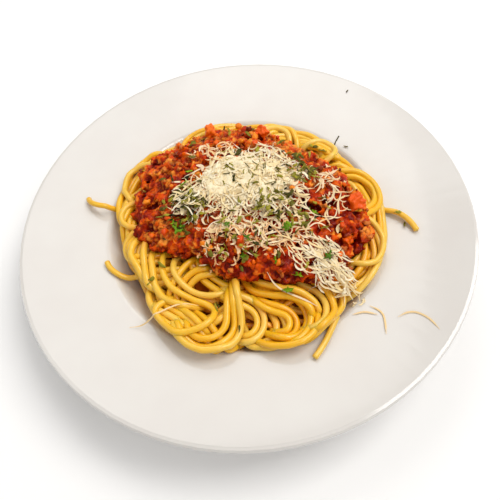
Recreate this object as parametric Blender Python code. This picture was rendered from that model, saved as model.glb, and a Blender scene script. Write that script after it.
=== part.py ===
"""Spaghetti bolognese on a wide-rimmed pasta plate.

The plate is turned from one profile. The heap in its well is three layers that lie on each other: the nest of
spaghetti, the meat sauce and the grated cheese. All three are sampled on the same rays and rings, so each
layer's underside repeats the facets of the layer below it at a small gap. A drift of cheese lies over the front
right edge of the sauce, three diced vegetables lie on it, and four loose strands hang out of the nest onto the
rim.

Units: metres in Blender, millimetres in the named sizes. +Z is up, the plate's axis is Z, and it stands on
Z = 0. The front of the dish faces -Y. Angles are in degrees, from +X towards +Y.
"""

import bisect
import math

import bmesh
import bpy
from mathutils import Matrix, Vector, noise
from mathutils.bvhtree import BVHTree

MM = 0.001
SEGMENTS = 72  # rays round the plate's axis, shared by the plate and the heap
GAP = 0.3  # free space between pieces that lie on each other

# Plate
PLATE_RADIUS = 125.0
PLATE_HEIGHT = 38.0
LIP_THICKNESS = 4.4
WELL_RADIUS = 77.0
WELL_EDGE_HEIGHT = 31.0
WELL_EDGE_FILLET = 4.5
FLOOR_RADIUS = 58.0  # where the floor and the sloping wall of the well would meet without their fillet
FLOOR_HEIGHT = 9.0
FLOOR_FILLET = 20.0
FLOOR_THICKNESS = 5.5
FOOT_RADIUS = 52.0
FOOT_WIDTH = 7.0
FOOT_EDGE = 1.0

# An outline is a mean radius and soft bulges: (angle, half width in degrees, reach past the mean radius)

# Spaghetti
STRAND_DIAMETER = 3.2
NEST_RADIUS = 77.0
NEST_BULGES = (
    (62, 26, -5.0),
    (110, 15, -5.0),
    (142, 8, 6.0),
    (180, 14, -5.0),
    (206, 16, -9.5),
    (248, 11, 7.0),
    (284, 11, 6.5),
    (340, 26, 3.0),
)
NEST_PEAK = 46.5
NEST_EDGE = 3.6  # thickness of the nest where it ends on the rim
NEST_SIDE = 32.5  # lowest height of its upper edge, where it ends inside the well
NEST_FALL = 2.6  # exponent of the dome: higher keeps the top flatter
FOLD_PITCH = 12.0
FOLD_DEPTH = 1.8
FOLD_CENTRES = ((26, -52), (-30, -56), (-66, 2), (70, -6), (34, 58), (-44, 50))  # x, y of the big coils

# Meat sauce
SAUCE_RADIUS = 61.0
SAUCE_BULGES = ((140, 24, 4.0), (228, 29, -21.0), (274, 28, -13.0), (332, 29, 9.0), (47, 28, -8.5))
SAUCE_THICKNESS = 9.0
SAUCE_EDGE = 3.0
SAUCE_LUMP = 3.0
SAUCE_LUMP_SIZE = 13.0

# Grated cheese
CHEESE_RADIUS = 36.5
CHEESE_BULGES = (
    (116, 17, 5.0),
    (186, 9, -12.0),
    (214, 19, -14.0),
    (268, 32, -14.0),
    (287, 16, 9.0),
    (345, 46, 9.0),
)
CHEESE_THICKNESS = 8.5
CHEESE_EDGE = 1.6
CHEESE_LUMP = 2.4
CHEESE_LUMP_SIZE = 16.0
DRIFT_CENTRE = (38.5, -45.0)
DRIFT_HEADING = -38  # of its long side
DRIFT_LENGTH = 36.0
DRIFT_WIDTH = 22.0
DRIFT_THICKNESS = 4.2
DRIFT_EDGE = 1.2

# Diced vegetables that show on the sauce: x, y of the middle, edge lengths, and the heading of the first edge
DICE = {
    "carrot_dice_left": {"place": (-14.0, 54.5), "edges": (6.0, 6.5, 6.0), "heading": 20},
    "carrot_dice_back": {"place": (16.5, 48.0), "edges": (7.0, 5.5, 5.5), "heading": -30},
    "tomato_piece": {"place": (59.5, -8.5), "edges": (8.5, 12.0, 5.5), "heading": 8},
}
DICE_EDGE = 1.2

# Where the rings lie, as shares of the stretch between two outlines
UNDER_CHEESE = (0.35, 0.7, 1.0)
CHEESE_TOP = (0.25, 0.48, 0.7, 0.88, 1.0)
OPEN_SAUCE = (0.18, 0.36, 0.54, 0.72, 0.88, 1.0)
UNDER_SAUCE = (0.35, 0.7, 1.0)
OPEN_NEST = (0.14, 0.29, 0.44, 0.59, 0.74, 0.88, 1.0)
UNDER_NEST = (24.0, 48.0, 60.0)  # radii

# Loose strands, each by the angle on the nest's outline where it starts, the headings of its start and of its
# free end, its length and the height of its arch over the plate
LOOSE_STRANDS = {
    "strand_left": {"angle": 166, "headings": (190, 106), "length": 18.0, "arch": 5.0},
    "strand_lower_left": {"angle": 202, "headings": (178, 104), "length": 17.0, "arch": 0.6},
    "strand_right": {"angle": 356, "headings": (-34, -78), "length": 19.0, "arch": 1.4},
    "strand_front": {"angle": 295, "headings": (-122, -136), "length": 14.0, "arch": 0.4},
}
STRAND_START = 1.6  # from the nest's outline
STRAND_POINTS = 9


def clear_scene():
    for obj in list(bpy.data.objects):
        bpy.data.objects.remove(obj)


def material(name, colour, roughness):
    """A dielectric surface of one colour."""
    made = bpy.data.materials.new(name)
    made.use_nodes = True
    shader = made.node_tree.nodes["Principled BSDF"]
    shader.inputs["Base Color"].default_value = (*colour, 1.0)
    shader.inputs["Roughness"].default_value = roughness
    shader.inputs["Metallic"].default_value = 0.0
    made.diffuse_color = (*colour, 1.0)
    return made


def add_object(name, data, surface):
    data.materials.append(surface)
    obj = bpy.data.objects.new(name, data)
    bpy.context.scene.collection.objects.link(obj)
    return obj


def add_mesh(name, form, surface, sharp_angle):
    """The finished bmesh as an object, smooth except over edges sharper than the angle."""
    bmesh.ops.recalc_face_normals(form, faces=form.faces[:])
    mesh = bpy.data.meshes.new(name)
    form.to_mesh(mesh)
    form.free()
    mesh.shade_smooth()
    mesh.set_sharp_from_angle(angle=math.radians(sharp_angle))
    return add_object(name, mesh, surface)


def on_ray(angle, radius):
    """The point x, y at an angle and a radius."""
    return Vector((radius * math.cos(math.radians(angle)), radius * math.sin(math.radians(angle))))


def smoothstep(low, high, value):
    share = min(1.0, max(0.0, (value - low) / (high - low)))
    return share * share * (3 - 2 * share)


# ---------------------------------------------------------------- plate


def rounded(corners, steps):
    """The outline through the corners (radius, height, fillet radius), each corner rounded by an arc."""
    outline = []
    for index, (r, z, fillet) in enumerate(corners):
        corner = Vector((r, z))
        if fillet == 0:
            outline.append(corner)
            continue
        before = (Vector(corners[index - 1][:2]) - corner).normalized()
        after = (Vector(corners[index + 1][:2]) - corner).normalized()
        half = before.angle(after) / 2
        centre = corner + (before + after).normalized() * fillet / math.sin(half)
        start = corner + before * fillet / math.tan(half) - centre
        end = corner + after * fillet / math.tan(half) - centre
        sweep = -start.angle_signed(end)
        for step in range(steps + 1):
            cos, sin = math.cos(sweep * step / steps), math.sin(sweep * step / steps)
            outline.append(centre + Vector((start.x * cos - start.y * sin, start.x * sin + start.y * cos)))
    return outline


def plate_upper_side():
    """From the axis over the well's floor, wall and edge and along the rim to the lip."""
    return rounded(
        [
            (0, FLOOR_HEIGHT, 0),
            (FLOOR_RADIUS, FLOOR_HEIGHT, FLOOR_FILLET),
            (WELL_RADIUS, WELL_EDGE_HEIGHT, WELL_EDGE_FILLET),
            (PLATE_RADIUS - 2.2, PLATE_HEIGHT - 0.5, 0),
        ],
        steps=3,
    )


def plate_under_side():
    """From the lip under the rim and down the well to the foot ring, and in to the axis."""
    under = FLOOR_HEIGHT - FLOOR_THICKNESS
    foot_inside = FOOT_RADIUS - FOOT_WIDTH
    body = rounded(
        [
            (PLATE_RADIUS - 2.2, PLATE_HEIGHT - 0.5, 0),
            (PLATE_RADIUS, PLATE_HEIGHT + 0.4, 1.7),
            (PLATE_RADIUS, PLATE_HEIGHT - LIP_THICKNESS, 1.8),
            (WELL_RADIUS + 3.5, WELL_EDGE_HEIGHT - 4.6, 6),
            (FLOOR_RADIUS + 4, under + 0.5, 14),
            (FOOT_RADIUS, under - 0.4, 0),
        ],
        steps=2,
    )
    foot = rounded(
        [
            (FOOT_RADIUS, under - 0.4, 0),
            (FOOT_RADIUS - FOOT_EDGE, 0, FOOT_EDGE),
            (foot_inside + FOOT_EDGE, 0, FOOT_EDGE),
            (foot_inside, under, 0),
        ],
        steps=1,
    )
    return body[1:] + foot[1:] + [Vector((0, under))]


UPPER_SIDE = plate_upper_side()


def plate_height_at(radius):
    """Height of the plate's upper side at a radius."""
    after = min(bisect.bisect([point.x for point in UPPER_SIDE], radius), len(UPPER_SIDE) - 1)
    low, high = UPPER_SIDE[after - 1], UPPER_SIDE[after]
    return low.y + (high.y - low.y) * (radius - low.x) / (high.x - low.x)


def build_plate(surface):
    """The whole profile, spun once round Z."""
    profile = UPPER_SIDE + plate_under_side()
    form = bmesh.new()
    points = [form.verts.new((p.x * MM, 0, p.y * MM)) for p in profile]
    edges = [form.edges.new(pair) for pair in zip(points, points[1:])]
    bmesh.ops.spin(
        form,
        geom=points + edges,
        axis=(0, 0, 1),
        cent=(0, 0, 0),
        angle=math.tau,
        steps=SEGMENTS,
        use_merge=True,
    )
    bmesh.ops.remove_doubles(form, verts=form.verts[:], dist=0.01 * MM)
    add_mesh("plate", form, surface, sharp_angle=40)


# ---------------------------------------------------------------- the heap's outlines and heights


def outline_radius(mean, bulges, angle):
    radius = mean
    for centre, half_width, reach in bulges:
        away = (angle - centre + 180) % 360 - 180
        radius += reach * math.exp(-((away / half_width) ** 2))
    return radius


def cheese_radius(angle):
    return outline_radius(CHEESE_RADIUS, CHEESE_BULGES, angle)


def sauce_radius(angle):
    return outline_radius(SAUCE_RADIUS, SAUCE_BULGES, angle)


def nest_radius(angle):
    return outline_radius(NEST_RADIUS, NEST_BULGES, angle)


def lumps(angle, radius, size):
    """Smooth relief between about -0.5 and 0.5, with lumps of about the given size, flat at the axis."""
    return smoothstep(0, size, radius) * noise.noise((on_ray(angle, radius) / size).to_3d())


def fold_relief(angle, radius):
    """Ridges of coiled spaghetti round the middle of the nearest big coil, on the open part of the nest."""
    away = min((on_ray(angle, radius) - Vector(centre)).length for centre in FOLD_CENTRES)
    sauce, edge = sauce_radius(angle), nest_radius(angle)
    shown = smoothstep(sauce + 1, sauce + 7, radius) * (1 - smoothstep(edge - 6, edge, radius))
    return FOLD_DEPTH * shown * math.cos(math.tau * away / FOLD_PITCH)


def nest_top(angle, radius):
    """Height of the spaghetti: a flat dome that falls to its edge, which is thin on the rim."""
    share = min(1.0, radius / nest_radius(angle))
    edge = max(NEST_SIDE, plate_height_at(nest_radius(angle)) + NEST_EDGE)
    return edge + (NEST_PEAK - edge) * (1 - share**NEST_FALL) + fold_relief(angle, radius)


def sauce_top(angle, radius):
    share = min(1.0, radius / sauce_radius(angle))
    cover = SAUCE_EDGE + (SAUCE_THICKNESS - SAUCE_EDGE) * math.sqrt(1 - share**4)
    cover += SAUCE_LUMP * lumps(angle, radius, SAUCE_LUMP_SIZE)
    return nest_top(angle, radius) + GAP + cover


def cheese_top(angle, radius):
    share = min(1.0, radius / cheese_radius(angle))
    cover = CHEESE_EDGE + (CHEESE_THICKNESS - CHEESE_EDGE) * (1 - share**2)
    cover += CHEESE_LUMP * (1 - share) * lumps(angle, radius, CHEESE_LUMP_SIZE)
    return sauce_top(angle, radius) + GAP + cover


# ---------------------------------------------------------------- the heap's layers


def ray_angle(step):
    return 360 * step / SEGMENTS


def ring(radius_at, height_at):
    """One loop of points (radius, height), one for each ray."""
    radii = [(ray_angle(step), radius_at(ray_angle(step))) for step in range(SEGMENTS)]
    return [(radius, height_at(angle, radius)) for angle, radius in radii]


def rings_inside(outline, shares, height_at):
    return [ring(lambda angle, s=share: s * outline(angle), height_at) for share in shares]


def rings_between(inner, outer, shares, height_at):
    def outline(share):
        return lambda angle: inner(angle) + share * (outer(angle) - inner(angle))

    return [ring(outline(share), height_at) for share in shares]


def raised(rings, by):
    return [[(radius, height + by) for radius, height in loop] for loop in rings]


def nest_underside():
    """Follows the well's floor and wall, and lifts a little to clear the well's rounded edge."""

    def height(angle, radius):
        return plate_height_at(radius) + GAP + smoothstep(66, 74, radius)

    def inside_edge(angle):
        return min(nest_radius(angle) - 2, WELL_RADIUS - 0.5)

    fixed = [ring(lambda angle, r=radius: r, height) for radius in UNDER_NEST]
    return fixed + [ring(inside_edge, height), ring(nest_radius, height)]


def vertex(form, step, radius, height):
    x, y = on_ray(ray_angle(step), radius)
    return form.verts.new((x * MM, y * MM, height * MM))


def triangles(near, far):
    """The band between two rings of vertices. Every layer cuts its cells along the same diagonal."""
    for left in range(SEGMENTS):
        right = (left + 1) % SEGMENTS
        yield near[left], near[right], far[right]
        yield near[left], far[right], far[left]


def build_layer(name, under, over, surface):
    """A closed solid between its underside and its upper side, both stacks of rings from the axis outwards."""
    form = bmesh.new()
    low = [[vertex(form, step, *point) for step, point in enumerate(loop)] for loop in under]
    high = [[vertex(form, step, *point) for step, point in enumerate(loop)] for loop in over]
    for near, far in [*zip(low, low[1:]), *zip(high, high[1:]), (low[-1], high[-1])]:
        for corners in triangles(near, far):
            form.faces.new(corners)
    for loop, points in ((low[0], under[0]), (high[0], over[0])):
        middle = vertex(form, 0, 0, sum(height for _, height in points) / len(points))
        for step in range(SEGMENTS):
            form.faces.new((loop[step], loop[(step + 1) % SEGMENTS], middle))
    return add_mesh(name, form, surface, sharp_angle=50)


def inside_drift(point):
    """1 in the middle of the drift's oval, 0 on its border and below 0 outside it."""
    away = point.to_2d() / MM - Vector(DRIFT_CENTRE)
    along = away.dot(on_ray(DRIFT_HEADING, 1)) / (DRIFT_LENGTH / 2)
    across = away.dot(on_ray(DRIFT_HEADING + 90, 1)) / (DRIFT_WIDTH / 2)
    return 1 - math.hypot(along, across)


def build_drift(name, ground, surface):
    """A ragged drift of cheese: the triangles of the ground that lie in the oval, under a low mound."""
    form = bmesh.new()
    loops = [[vertex(form, step, *point) for step, point in enumerate(loop)] for loop in raised(ground, GAP)]
    for near, far in zip(loops, loops[1:]):
        for corners in triangles(near, far):
            middle = sum((corner.co for corner in corners), Vector()) / 3
            if inside_drift(middle) > 0:
                form.faces.new(corners)
    bmesh.ops.delete(form, geom=[v for v in form.verts if not v.link_faces], context="VERTS")
    raised_part = bmesh.ops.extrude_face_region(form, geom=form.faces[:])["geom"]
    for point in raised_part:
        if isinstance(point, bmesh.types.BMVert):
            mound = math.sqrt(max(0.0, inside_drift(point.co)))
            point.co.z += (DRIFT_EDGE + (DRIFT_THICKNESS - DRIFT_EDGE) * mound) * MM
    add_mesh(name, form, surface, sharp_angle=50)


# ---------------------------------------------------------------- diced vegetables


def build_dice(name, place, edges, heading, ground, surface):
    """A block with rounded edges, tilted with the ground object's slope and lowered until it all but touches."""
    tree = BVHTree.FromPolygons([v.co for v in ground.data.vertices], [p.vertices for p in ground.data.polygons])
    down = Vector((0, 0, -1))
    middle = Vector((place[0], place[1], 2 * PLATE_HEIGHT)) * MM
    reach = min(edges) / 2
    around = [middle + on_ray(heading + turn, reach).to_3d() * MM for turn in (0, 90, 180, 270)]
    slope = sum((tree.ray_cast(point, down)[1] for point in around), Vector())
    tilt = Vector((0, 0, 1)).rotation_difference(slope).to_matrix()
    form = bmesh.new()
    bmesh.ops.create_cube(form, size=MM)
    bmesh.ops.scale(form, vec=edges, verts=form.verts[:])
    bmesh.ops.bevel(form, geom=form.edges[:], offset=DICE_EDGE * MM, segments=2, profile=0.5, affect="EDGES")
    turned = tilt @ Matrix.Rotation(math.radians(heading), 3, "Z")
    bmesh.ops.rotate(form, matrix=turned, verts=form.verts[:])
    bmesh.ops.translate(form, vec=middle, verts=form.verts[:])
    drops = [tree.ray_cast(v.co, down)[3] for v in form.verts]
    fall = min(drop for drop in drops if drop is not None)
    bmesh.ops.translate(form, vec=(0, 0, GAP * MM - fall), verts=form.verts[:])
    add_mesh(name, form, surface, sharp_angle=50)


# ---------------------------------------------------------------- loose strands


def resting_height(distance):
    """Height of a strand's middle line where the strand lies on the plate, at a distance from the axis."""
    radius = STRAND_DIAMETER / 2
    offsets = [radius * step / 4 for step in range(-4, 5)]
    return max(plate_height_at(distance + offset) + math.sqrt(radius**2 - offset**2) for offset in offsets) + GAP


def build_strand(name, angle, headings, length, arch, surface):
    """A strand that leaves the nest, arches over the plate and curls sideways to its free end."""
    radius = STRAND_DIAMETER / 2
    place = on_ray(angle, nest_radius(angle) + STRAND_START)
    points = []
    for step in range(STRAND_POINTS):
        share = step / (STRAND_POINTS - 1)
        points.append((*place, resting_height(place.length) + arch * math.sin(math.pi * (0.3 + 0.7 * share))))
        heading = headings[0] + (headings[1] - headings[0]) * share
        place = place + on_ray(heading, length / (STRAND_POINTS - 1))
    curve = bpy.data.curves.new(name, "CURVE")
    curve.dimensions = "3D"
    curve.bevel_depth = radius * MM
    curve.bevel_resolution = 2
    curve.use_fill_caps = True
    spline = curve.splines.new("POLY")
    spline.points.add(len(points) - 1)
    for point, (x, y, z) in zip(spline.points, points):
        point.co = (x * MM, y * MM, z * MM, 1)
    add_object(name, curve, surface)


def main():
    clear_scene()
    china = material("white_china", (0.86, 0.84, 0.80), 0.18)
    pasta = material("spaghetti", (0.84, 0.52, 0.12), 0.42)
    sauce = material("meat_sauce", (0.40, 0.08, 0.02), 0.38)
    cheese = material("grated_cheese", (0.86, 0.78, 0.60), 0.6)
    vegetable = material("diced_vegetable", (0.75, 0.16, 0.03), 0.35)

    under_sauce = rings_inside(sauce_radius, UNDER_SAUCE, nest_top)
    open_nest = rings_between(sauce_radius, nest_radius, OPEN_NEST, nest_top)
    under_cheese = rings_inside(cheese_radius, UNDER_CHEESE, sauce_top)
    open_sauce = rings_between(cheese_radius, sauce_radius, OPEN_SAUCE, sauce_top)
    cheese_surface = rings_inside(cheese_radius, CHEESE_TOP, cheese_top)

    build_plate(china)
    build_layer("spaghetti_nest", nest_underside(), under_sauce + open_nest, pasta)
    sauce_layer = build_layer("meat_sauce", raised(under_sauce, GAP), under_cheese + open_sauce, sauce)
    build_layer("grated_cheese", raised(under_cheese, GAP), cheese_surface, cheese)
    build_drift("cheese_drift", open_sauce + open_nest, cheese)
    for name, shape in DICE.items():
        build_dice(name, ground=sauce_layer, surface=vegetable, **shape)
    for name, shape in LOOSE_STRANDS.items():
        build_strand(name, surface=pasta, **shape)


main()
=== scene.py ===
"""The looks of the spaghetti bolognese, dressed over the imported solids.

Heaps are laid piece by piece onto a relief, a grid of heights that starts as the plate: each strand, crumb,
shred or leaf comes to rest on it and raises it for what follows. Lengths are in millimetres and angles in
degrees from +X towards +Y, and meshes are made in metres.
"""

import math
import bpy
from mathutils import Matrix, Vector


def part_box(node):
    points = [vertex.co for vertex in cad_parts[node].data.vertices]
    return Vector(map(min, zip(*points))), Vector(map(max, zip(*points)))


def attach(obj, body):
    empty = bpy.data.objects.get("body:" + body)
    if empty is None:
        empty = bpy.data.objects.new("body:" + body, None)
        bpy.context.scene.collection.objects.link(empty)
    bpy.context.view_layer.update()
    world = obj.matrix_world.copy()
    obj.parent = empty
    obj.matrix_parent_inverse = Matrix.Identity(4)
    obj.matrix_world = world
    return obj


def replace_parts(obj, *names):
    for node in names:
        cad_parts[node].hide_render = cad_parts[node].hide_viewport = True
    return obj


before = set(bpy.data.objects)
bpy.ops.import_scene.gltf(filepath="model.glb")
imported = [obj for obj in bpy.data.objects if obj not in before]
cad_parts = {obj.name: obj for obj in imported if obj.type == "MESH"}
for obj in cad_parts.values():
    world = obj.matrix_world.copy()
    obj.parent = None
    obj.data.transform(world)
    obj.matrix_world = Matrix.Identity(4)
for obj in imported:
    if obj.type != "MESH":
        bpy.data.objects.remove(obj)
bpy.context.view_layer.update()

from copy import deepcopy
from itertools import chain

import bmesh
import bpy
import numpy as np
from mathutils import Matrix, Vector, noise
from mathutils.bvhtree import BVHTree

MM = 0.001

ABSENT = -99.0  # the height of a relief where its solid isn't
SKY = 200.0  # a height above everything


# ---- Materials


def srgb(*seen):
    """A colour as seen on screen, 0 to 255, in the linear values of shaders."""
    shares = np.array(seen) / 255
    linear = np.where(shares <= 0.04045, shares / 12.92, ((shares + 0.055) / 1.055) ** 2.4)
    return (*linear, 1.0)


class Surface:
    """A Principled material and the few node recipes that the foods share."""

    FINE_SHARE = 0.6  # how strong the finer features of a noise are
    MIX_SOCKETS = (0, 6, 7)  # a Mix node's factor and its two colours
    MIX_RESULT = 2

    def __init__(self, name, roughness, specular, **inputs):
        self.material = bpy.data.materials.new(name)
        self.material.use_nodes = True
        self.tree = self.material.node_tree
        self.shader = self.tree.nodes["Principled BSDF"]
        self.put(self.shader, Roughness=roughness, Specular_IOR_Level=specular, **inputs)
        self.place = self.tree.nodes.new("ShaderNodeTexCoord").outputs["Object"]

    def put(self, node, **inputs):
        """Links or sets a node's inputs."""
        for name, value in inputs.items():
            self.feed(node.inputs[name.replace("_", " ")], value)

    def feed(self, socket, value):
        if isinstance(value, bpy.types.NodeSocket):
            self.tree.links.new(value, socket)
        else:
            socket.default_value = value

    def node(self, kind, **inputs):
        made = self.tree.nodes.new("ShaderNode" + kind)
        self.put(made, **inputs)
        return made

    def noise(self, size, detail=3.0):
        """Noise with features of about this size in mm."""
        scale = 1 / (size * MM)
        made = self.node("TexNoise", Vector=self.place, Scale=scale, Detail=detail, Roughness=self.FINE_SHARE)
        return made.outputs["Fac"]

    def attribute(self, name):
        made = self.node("Attribute")
        made.attribute_name = name
        return made.outputs["Fac"]

    def tone(self, size, share):
        """Each piece's own tone, made uneven by a share of noise."""
        uneven = self.math("MULTIPLY", self.noise(size), share)
        return self.math("ADD", self.attribute("tone"), uneven)

    def ramp(self, factor, *stops):
        """A colour ramp through stops, each a position and a colour as seen."""
        made = self.node("ValToRGB", Fac=factor)
        elements = made.color_ramp.elements
        for index, (position, *seen) in enumerate(stops):
            element = elements[index] if index < 2 else elements.new(position)
            element.position = position
            element.color = srgb(*seen)
        return made.outputs["Color"]

    def mix(self, factor, first, second):
        made = self.node("Mix")
        made.data_type = "RGBA"
        for socket, value in zip(self.MIX_SOCKETS, (factor, first, second)):
            self.feed(made.inputs[socket], value)
        return made.outputs[self.MIX_RESULT]

    def math(self, operation, first, second):
        made = self.node("Math")
        made.operation = operation
        made.use_clamp = True
        self.feed(made.inputs[0], first)
        self.feed(made.inputs[1], second)
        return made.outputs[0]

    def colour(self, output):
        self.put(self.shader, Base_Color=output)

    def roughness(self, size, low, high):
        made = self.node("MapRange", Value=self.noise(size), To_Min=low, To_Max=high)
        self.put(self.shader, Roughness=made.outputs["Result"])

    def bump(self, size, detail, depth):
        """Relief made of noise, with its depth in mm."""
        made = self.node("Bump", Height=self.noise(size, detail), Distance=depth * MM)
        self.put(self.shader, Normal=made.outputs["Normal"])


def subsurface(weight, reach, tint):
    """Light that spreads inside food: how much, how far in mm, and each colour's share of that."""
    return {"Subsurface_Weight": weight, "Subsurface_Radius": tint, "Subsurface_Scale": reach * MM}


def china_surface():
    made = Surface("china_glaze", 0.12, 0.5, Coat_Weight=0.3, Coat_Roughness=0.05)
    made.colour(made.ramp(made.noise(30, 2), (0.3, 216, 212, 207), (0.7, 219, 216, 211)))
    made.bump(9, 1, 0.02)
    return made.material


def pasta_surface():
    made = Surface(
        "boiled_pasta", 0.3, 0.5, Coat_Weight=0.25, Coat_Roughness=0.22,
        **subsurface(0.5, 1.4, (1.0, 1.0, 0.9)),
    )
    tone = made.tone(6, 0.35)
    base = made.ramp(tone, (0.1, 245, 180, 6), (0.5, 244, 190, 34), (0.95, 243, 202, 88))
    # this sauce colour is also used as painted shade on the strands that lie deep in the heap
    sauced = made.ramp(made.noise(4), (0.35, 244, 132, 8), (0.7, 250, 168, 18))
    made.colour(made.mix(made.attribute("sauced"), base, sauced))
    made.roughness(3, 0.24, 0.38)
    made.bump(0.8, 4, 0.03)
    return made.material


def sauce_surface():
    made = Surface(
        "bolognese", 0.28, 0.12, Coat_Weight=0.02, Coat_Roughness=0.1,
        **subsurface(0.15, 1.2, (1.0, 0.25, 0.08)),
    )
    tone = made.tone(1.4, 0.35)
    meat = made.ramp(tone, (0.15, 124, 12, 0), (0.45, 196, 54, 0), (0.75, 234, 92, 0), (1.0, 246, 150, 50))
    # painted shade: the dark colour given to the mass's hollows and cracks
    deep = made.ramp(made.noise(3), (0.3, 76, 2, 0), (0.7, 136, 14, 0))
    made.colour(made.mix(made.attribute("hollow_shade"), meat, deep))
    made.roughness(1.5, 0.14, 0.34)
    made.bump(0.7, 4, 0.12)
    return made.material


def crumb_surface(name, *stops, grain=1.0):
    """Small bits whose colour is picked along the stops by each bit's tone."""
    made = Surface(name, 0.3, 0.25)
    made.colour(made.ramp(made.tone(grain, 0.3), *stops))
    made.bump(0.5, 4, 0.12)
    return made.material


def cheese_surface():
    made = Surface("hard_cheese", 0.5, 0.25, **subsurface(0.25, 0.6, (1.0, 1.0, 0.95)))
    tone = made.tone(2.5, 0.3)
    base = made.ramp(tone, (0.1, 244, 216, 154), (0.5, 247, 227, 182), (0.95, 249, 237, 206))
    made.colour(made.mix(made.attribute("sauced"), base, srgb(240, 172, 108)))
    made.bump(0.6, 3, 0.04)
    return made.material


def leaf_surface(name, dark, light):
    made = Surface(name, 0.5, 0.2)
    made.colour(made.ramp(made.tone(0.9, 0.4), (0.25, *dark), (0.9, *light)))
    made.bump(0.5, 2, 0.1)
    return made.material


# ---- Meshes


class Heap:
    """Gathers many small pieces into one mesh, with values for each point."""

    def __init__(self):
        self.points = []
        self.faces = []
        self.values = {}
        self.count = 0

    def add(self, points, faces, **values):
        """A value is one number, or one for each point."""
        self.points.append(np.asarray(points, float))
        self.faces.extend([tuple(corner + self.count for corner in face) for face in faces])
        for name, value in values.items():
            self.values.setdefault(name, []).append(np.broadcast_to(value, len(points)))
        self.count += len(points)

    def mesh(self, name):
        mesh = bpy.data.meshes.new(name)
        mesh.from_pydata((np.concatenate(self.points) * MM).tolist(), [], self.faces)
        for key, parts in self.values.items():
            set_values(mesh, key, np.concatenate(parts))
        return mesh

    def finish(self, name, surface, node_slot, smooth=True):
        return add_piece(name, self.mesh(name), surface, smooth)


def placed(name, data):
    made = bpy.data.objects.new(name, data)
    bpy.context.scene.collection.objects.link(made)
    return made


def add_piece(name, mesh, surface, smooth=True):
    """A piece of food, which rides with the dish."""
    if smooth:
        mesh.shade_smooth()
    mesh.materials.append(surface)
    piece = placed(name, mesh)
    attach(piece, "root")
    return piece


def slab(axis, top, bottom):
    """A closed body between two height grids, wherever the top one isn't nan."""
    solid = ~np.isnan(top)
    cells = solid[:-1, :-1] & solid[1:, :-1] & solid[1:, 1:] & solid[:-1, 1:]
    around = np.pad(cells, 1)
    used = around[1:, 1:] | around[:-1, 1:] | around[1:, :-1] | around[:-1, :-1]
    number = np.full(top.shape, -1)
    number[used] = np.arange(used.sum())
    columns, rows = np.nonzero(used)
    upper = np.column_stack([axis[columns], axis[rows], top[used]])
    lower = np.column_stack([axis[columns], axis[rows], bottom[used]])
    count = len(upper)
    faces, edges = [], {}
    for i, j in zip(*np.nonzero(cells)):
        corners = (number[i, j], number[i + 1, j], number[i + 1, j + 1], number[i, j + 1])
        faces.append(corners)
        faces.append(tuple(count + corner for corner in corners[::-1]))
        edges.update(dict.fromkeys(zip(corners, corners[1:] + corners[:1])))
    for first, second in edges:
        if (second, first) not in edges:
            faces.append((second, first, count + first, count + second))
    return np.vstack([upper, lower]), faces


def unit(vectors):
    return vectors / np.maximum(np.linalg.norm(vectors, axis=-1, keepdims=True), 1e-9)


def frames(path):
    """At each point of a path: the directions along it, level to its side, and upwards."""
    along = unit(np.gradient(path, axis=0))
    side = unit(np.cross(along, (0, 0, 1)))
    return along, side, np.cross(side, along)


def skin(count, sides):
    """The faces between the rings of a closed tube."""
    faces = []
    for row in range(0, sides * (count - 1), sides):
        for turn in range(sides):
            after = (turn + 1) % sides
            faces.append((row + turn, row + after, row + sides + after, row + sides + turn))
    return faces


END_BULGE = 0.25  # how far a tube's ends bulge, and how wide their flat is, in radii
END_FLAT = 0.75


def tube(path, radii, sides):
    """A closed tube along a path, with rounded-off cut ends."""
    radii = np.broadcast_to(radii, len(path))
    along, side, up = frames(path)
    turns = np.arange(sides) * 2 * math.pi / sides
    ring = np.cos(turns)[None, :, None] * side[:, None, :] + np.sin(turns)[None, :, None] * up[:, None, :]
    points = (path[:, None, :] + ring * radii[:, None, None]).reshape(-1, 3)
    faces = skin(len(path), sides)
    for row, outward in ((0, -1), (len(path) - 1, 1)):
        tip = path[row] + along[row] * outward * radii[row] * END_BULGE
        start = len(points)
        points = np.concatenate([points, tip + ring[row] * radii[row] * END_FLAT, [tip]])
        for turn in range(sides):
            after = (turn + 1) % sides
            near, far = row * sides + turn, row * sides + after
            band = (near, far, start + after, start + turn)
            fan = (start + turn, start + after, start + sides)
            faces.append(band[::outward])
            faces.append(fan[::outward])
    return points, faces


# ---- Relief


class Relief:
    """Heights over a square grid round the plate's axis."""

    REACH = 128.0
    PITCH = 0.5

    def __init__(self):
        self.axis = np.arange(-self.REACH, self.REACH + self.PITCH / 2, self.PITCH)
        self.heights = np.zeros((len(self.axis), len(self.axis)))

    def cell(self, places, dx=0.0, dy=0.0):
        """The grid's columns and rows at one place or many, moved by dx and dy."""
        x, y = np.transpose(places)[:2]
        cells = np.rint((np.array([x[..., None] + dx, y[..., None] + dy]) + self.REACH) / self.PITCH)
        return tuple(np.clip(cells.astype(int), 0, len(self.axis) - 1))

    def at(self, places):
        return self.heights[self.cell(places)][..., 0]

    def footprint(self, radius):
        """Offsets under a ball, and how far its surface lies from its middle there."""
        count = int(radius / self.PITCH)
        reach = np.arange(-count, count + 1) * self.PITCH
        dx, dy = (grid.ravel() for grid in np.meshgrid(reach, reach))
        inside = np.hypot(dx, dy) <= radius
        dx, dy = dx[inside], dy[inside]
        return dx, dy, np.sqrt(radius**2 - dx**2 - dy**2)

    def rest(self, places, radius):
        """Height of a ball's middle, resting at each place."""
        dx, dy, lift = self.footprint(radius)
        return (self.heights[self.cell(places, dx, dy)] + lift).max(axis=-1)

    def cover(self, points, radius):
        """Raises the heights by the balls that lie at these points."""
        dx, dy, lift = self.footprint(radius)
        z = np.transpose(points)[2]
        np.maximum.at(self.heights, self.cell(points, dx, dy), z[..., None] + lift)


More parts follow.
